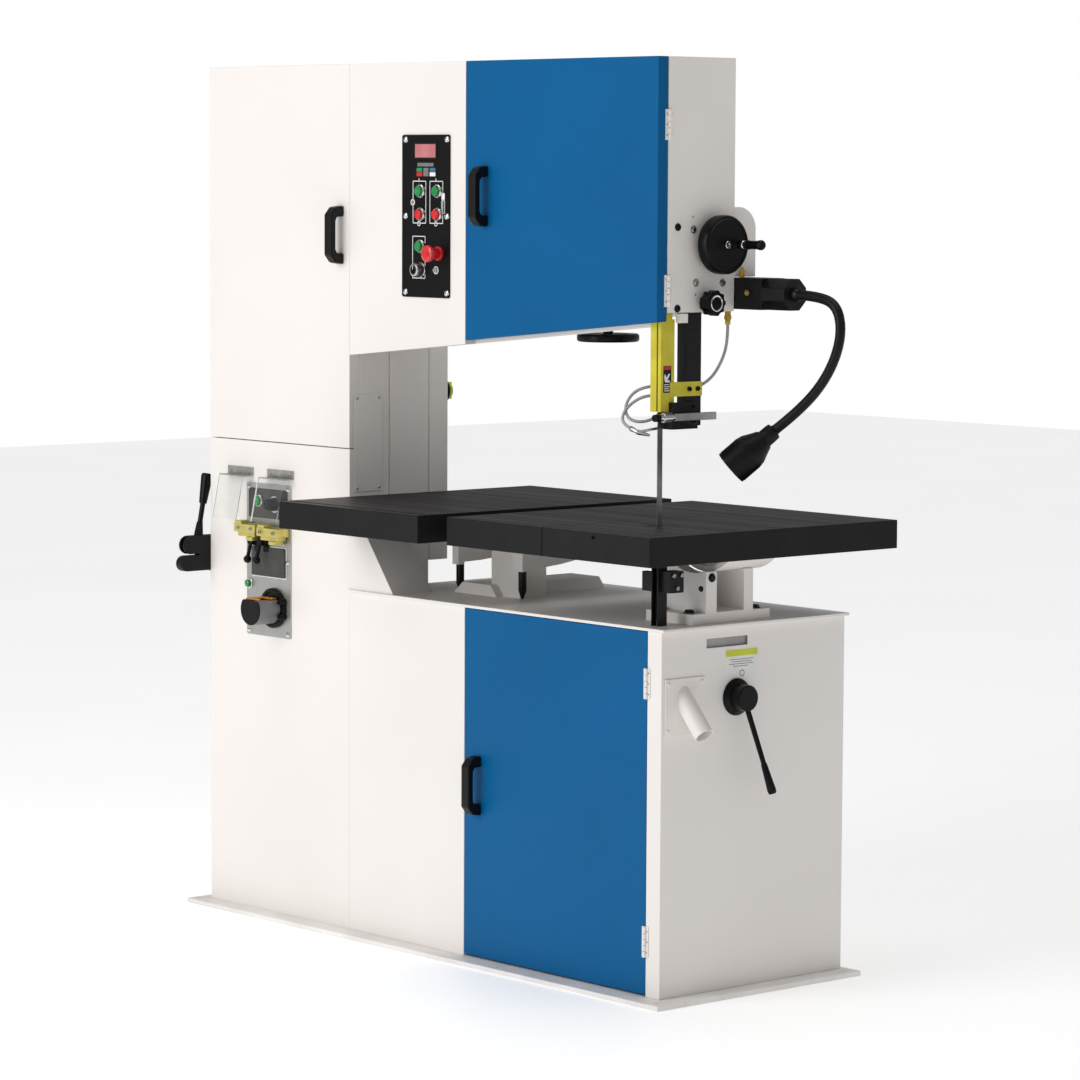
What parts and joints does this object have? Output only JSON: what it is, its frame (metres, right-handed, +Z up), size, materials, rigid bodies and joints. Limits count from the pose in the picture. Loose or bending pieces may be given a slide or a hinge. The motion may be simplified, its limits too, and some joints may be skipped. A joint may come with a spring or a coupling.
{
  "type": "vertical band saw",
  "caption": "Floor-standing vertical band saw with a long throat, tilting main table, fixed side table, blade welder and work lamp.",
  "frame": {"origin": "point on the floor, under the base plate, directly below the blade's cutting run", "axes": "+Z up, +X to the operator's right, +Y to the back"},
  "size_m": [1.7402, 0.705, 1.827],
  "materials": {
    "white_paint": "textured semi-gloss powder coat",
    "base_paint": "semi-gloss paint",
    "blue_paint": "semi-gloss powder coat",
    "black_anodised": "satin black anodised",
    "black_paint": "satin black paint",
    "cast_iron_table": "ground and oiled",
    "yellow_paint": "semi-gloss paint",
    "grey_paint": "semi-gloss paint",
    "zinc_steel": "zinc plated",
    "ground_steel": "ground",
    "blade_steel": "bright band steel",
    "black_plastic": "moulded",
    "green_plastic": "moulded",
    "red_plastic": "moulded",
    "abrasive": "bonded grit",
    "hose_clear": "clear tube"
  },
  "bodies": {
    "frame": {"air_hose": "hose_clear", "aux_pedestal": "white_paint", "aux_table": "cast_iron_table", "base_plate": "base_paint", "cabinet_shell": "white_paint", "cabinet_top": "white_paint", "chip_chute": "white_paint", "column_shell": "white_paint", "control_plate": "black_anodised", "drive_motor": "grey_paint", "electrical_box": "white_paint", "fasteners": "zinc_steel", "frame_post": "white_paint", "grinder_guard": "black_plastic", "head_shell": "white_paint", "lamp_base": "black_paint", "lower_guide": "black_paint", "post_housing": "white_paint", "saw_blade": "blade_steel", "service_covers": "white_paint", "shear_block": "black_paint", "trunnion_cradle": "white_paint", "weld_jaws": "zinc_steel", "welder_plate": "zinc_steel"},
    "column_door": {"column_door": "blue_paint", "column_door_handle": "black_plastic"},
    "upper_door": {"upper_door": "blue_paint", "upper_door_handle": "black_plastic"},
    "lower_door": {"lower_door": "blue_paint", "lower_door_handle": "black_plastic"},
    "table": {"table_left": "cast_iron_table", "table_right": "cast_iron_table", "table_insert": "ground_steel", "trunnion_barrel": "white_paint"},
    "guide": {"guide_post": "black_paint", "blade_guard": "yellow_paint", "guide_block": "black_paint", "air_nozzle": "zinc_steel"},
    "guide_handwheel": {"guide_handwheel": "black_plastic"},
    "crank_grip": {"crank_grip": "black_plastic"},
    "lock_knob": {"lock_knob": "black_plastic"},
    "tension_wheel": {"tension_wheel": "black_plastic"},
    "upper_wheel": {"upper_wheel": "ground_steel"},
    "lower_wheel": {"lower_wheel": "ground_steel"},
    "left_wheel": {"left_wheel": "ground_steel"},
    "gear_lever": {"gear_lever": "black_plastic"},
    "shear_lever": {"shear_lever": "black_paint"},
    "lamp_arm": {"lamp_arm": "black_paint"},
    "lamp_head": {"lamp_head": "black_plastic"},
    "emergency_stop": {"emergency_stop": "red_plastic"},
    "speed_knob": {"speed_knob": "black_plastic"},
    "grinder_wheel": {"grinder_wheel": "abrasive"},
    "clamp_lever_1": {"clamp_lever_1": "black_plastic"},
    "clamp_lever_2": {"clamp_lever_2": "black_plastic"},
    "green_button_1": {"green_button_1": "green_plastic"},
    "green_button_2": {"green_button_2": "green_plastic"},
    "green_button_3": {"green_button_3": "green_plastic"},
    "red_button_1": {"red_button_1": "red_plastic"},
    "red_button_2": {"red_button_2": "red_plastic"},
    "weld_button": {"weld_button": "green_plastic"}
  },
  "joints": [
    {"name": "column_door_hinge", "type": "hinge", "parent": "frame", "child": "column_door", "pos_m": [-1.407, -0.013, 1.4], "axis": [0, 0, -1], "range_deg": [0, 110]},
    {"name": "upper_door_hinge", "type": "hinge", "parent": "frame", "child": "upper_door", "pos_m": [0.035, -0.013, 1.55], "axis": [0, 0, 1], "range_deg": [0, 110]},
    {"name": "lower_door_hinge", "type": "hinge", "parent": "frame", "child": "lower_door", "pos_m": [0.012, -0.044, 0.37], "axis": [0, 0, 1], "range_deg": [0, 110]},
    {"name": "table_tilt", "type": "hinge", "parent": "frame", "child": "table", "pos_m": [0, 0, 0.928], "axis": [0, 1, 0], "range_deg": [-15, 45]},
    {"name": "guide_height", "type": "slide", "parent": "frame", "child": "guide", "axis": [0, 0, 1], "range_m": [-0.15, 0.13], "deforming": ["air_hose"]},
    {"name": "guide_handwheel_turn", "type": "hinge", "parent": "frame", "child": "guide_handwheel", "pos_m": [0, 0.108, 1.468], "axis": [1, 0, 0], "range_deg": [-510, 590]},
    {"name": "crank_grip_spin", "type": "hinge", "parent": "guide_handwheel", "child": "crank_grip", "pos_m": [0, 0.145, 1.468], "axis": [1, 0, 0], "continuous": true},
    {"name": "lock_knob_turn", "type": "hinge", "parent": "frame", "child": "lock_knob", "pos_m": [0, 0.084, 1.356], "axis": [1, 0, 0], "range_deg": [0, 270]},
    {"name": "tension_turn", "type": "hinge", "parent": "frame", "child": "tension_wheel", "pos_m": [-0.24, 0.079, 1.28], "axis": [0, 0, 1], "range_deg": [-360, 360]},
    {"name": "lower_wheel_spin", "type": "hinge", "parent": "frame", "child": "lower_wheel", "pos_m": [-0.24, 0, 0.371], "axis": [0, 1, 0], "continuous": true},
    {"name": "upper_wheel_spin", "type": "hinge", "parent": "frame", "child": "upper_wheel", "pos_m": [-0.24, 0, 1.569], "axis": [0, 1, 0], "continuous": true},
    {"name": "left_wheel_spin", "type": "hinge", "parent": "frame", "child": "left_wheel", "pos_m": [-1.159, 0, 1.42], "axis": [0, 1, 0], "continuous": true},
    {"name": "gear_shift", "type": "hinge", "parent": "frame", "child": "gear_lever", "pos_m": [0.052, 0.159, 0.586], "axis": [1, 0, 0], "range_deg": [-30, 30]},
    {"name": "shear_pull", "type": "hinge", "parent": "frame", "child": "shear_lever", "pos_m": [-1.42, -0.07, 0.792], "axis": [1, 0, 0], "range_deg": [0, 75]},
    {"name": "lamp_swivel", "type": "hinge", "parent": "frame", "child": "lamp_arm", "pos_m": [0.168, 0.1946, 1.373], "axis": [1, 0, 0], "range_deg": [-25, 60]},
    {"name": "lamp_tilt", "type": "hinge", "parent": "lamp_arm", "child": "lamp_head", "pos_m": [0.147, 0.163, 1.112], "axis": [0.6899, -0.7239, 0], "range_deg": [-25, 25]},
    {"name": "emergency_stop_press", "type": "slide", "parent": "frame", "child": "emergency_stop", "axis": [0, 1, 0], "range_m": [0, 0.004], "stiffness_N_per_m": 600, "springref_m": -0.002},
    {"name": "speed_turn", "type": "hinge", "parent": "frame", "child": "speed_knob", "pos_m": [-0.675, -0.043, 1.406], "axis": [0, 1, 0], "range_deg": [-140, 140]},
    {"name": "grinder_spin", "type": "hinge", "parent": "frame", "child": "grinder_wheel", "pos_m": [-1.17, -0.043, 0.671], "axis": [0, 1, 0], "continuous": true},
    {"name": "clamp_1_turn", "type": "hinge", "parent": "frame", "child": "clamp_lever_1", "pos_m": [-1.226, -0.043, 0.812], "axis": [0, 1, 0], "range_deg": [-10, 60]},
    {"name": "clamp_2_turn", "type": "hinge", "parent": "frame", "child": "clamp_lever_2", "pos_m": [-1.194, -0.043, 0.812], "axis": [0, 1, 0], "range_deg": [-60, 10]},
    {"name": "green_button_1_press", "type": "slide", "parent": "frame", "child": "green_button_1", "axis": [0, 1, 0], "range_m": [0, 0.004], "stiffness_N_per_m": 400, "springref_m": -0.002},
    {"name": "green_button_2_press", "type": "slide", "parent": "frame", "child": "green_button_2", "axis": [0, 1, 0], "range_m": [0, 0.004], "stiffness_N_per_m": 400, "springref_m": -0.002},
    {"name": "green_button_3_press", "type": "slide", "parent": "frame", "child": "green_button_3", "axis": [0, 1, 0], "range_m": [0, 0.004], "stiffness_N_per_m": 400, "springref_m": -0.002},
    {"name": "red_button_1_press", "type": "slide", "parent": "frame", "child": "red_button_1", "axis": [0, 1, 0], "range_m": [0, 0.004], "stiffness_N_per_m": 400, "springref_m": -0.002},
    {"name": "red_button_2_press", "type": "slide", "parent": "frame", "child": "red_button_2", "axis": [0, 1, 0], "range_m": [0, 0.004], "stiffness_N_per_m": 400, "springref_m": -0.002},
    {"name": "weld_button_press", "type": "slide", "parent": "frame", "child": "weld_button", "axis": [0, 1, 0], "range_m": [0, 0.004], "stiffness_N_per_m": 400, "springref_m": -0.002}
  ],
  "couplings": [
    {"joint": "upper_wheel_spin", "follows": "lower_wheel_spin", "ratio": 1},
    {"joint": "left_wheel_spin", "follows": "lower_wheel_spin", "ratio": 1.0909},
    {"joint": "guide_handwheel_turn", "follows": "guide_height", "rad_per_m": -66.667}
  ]
}
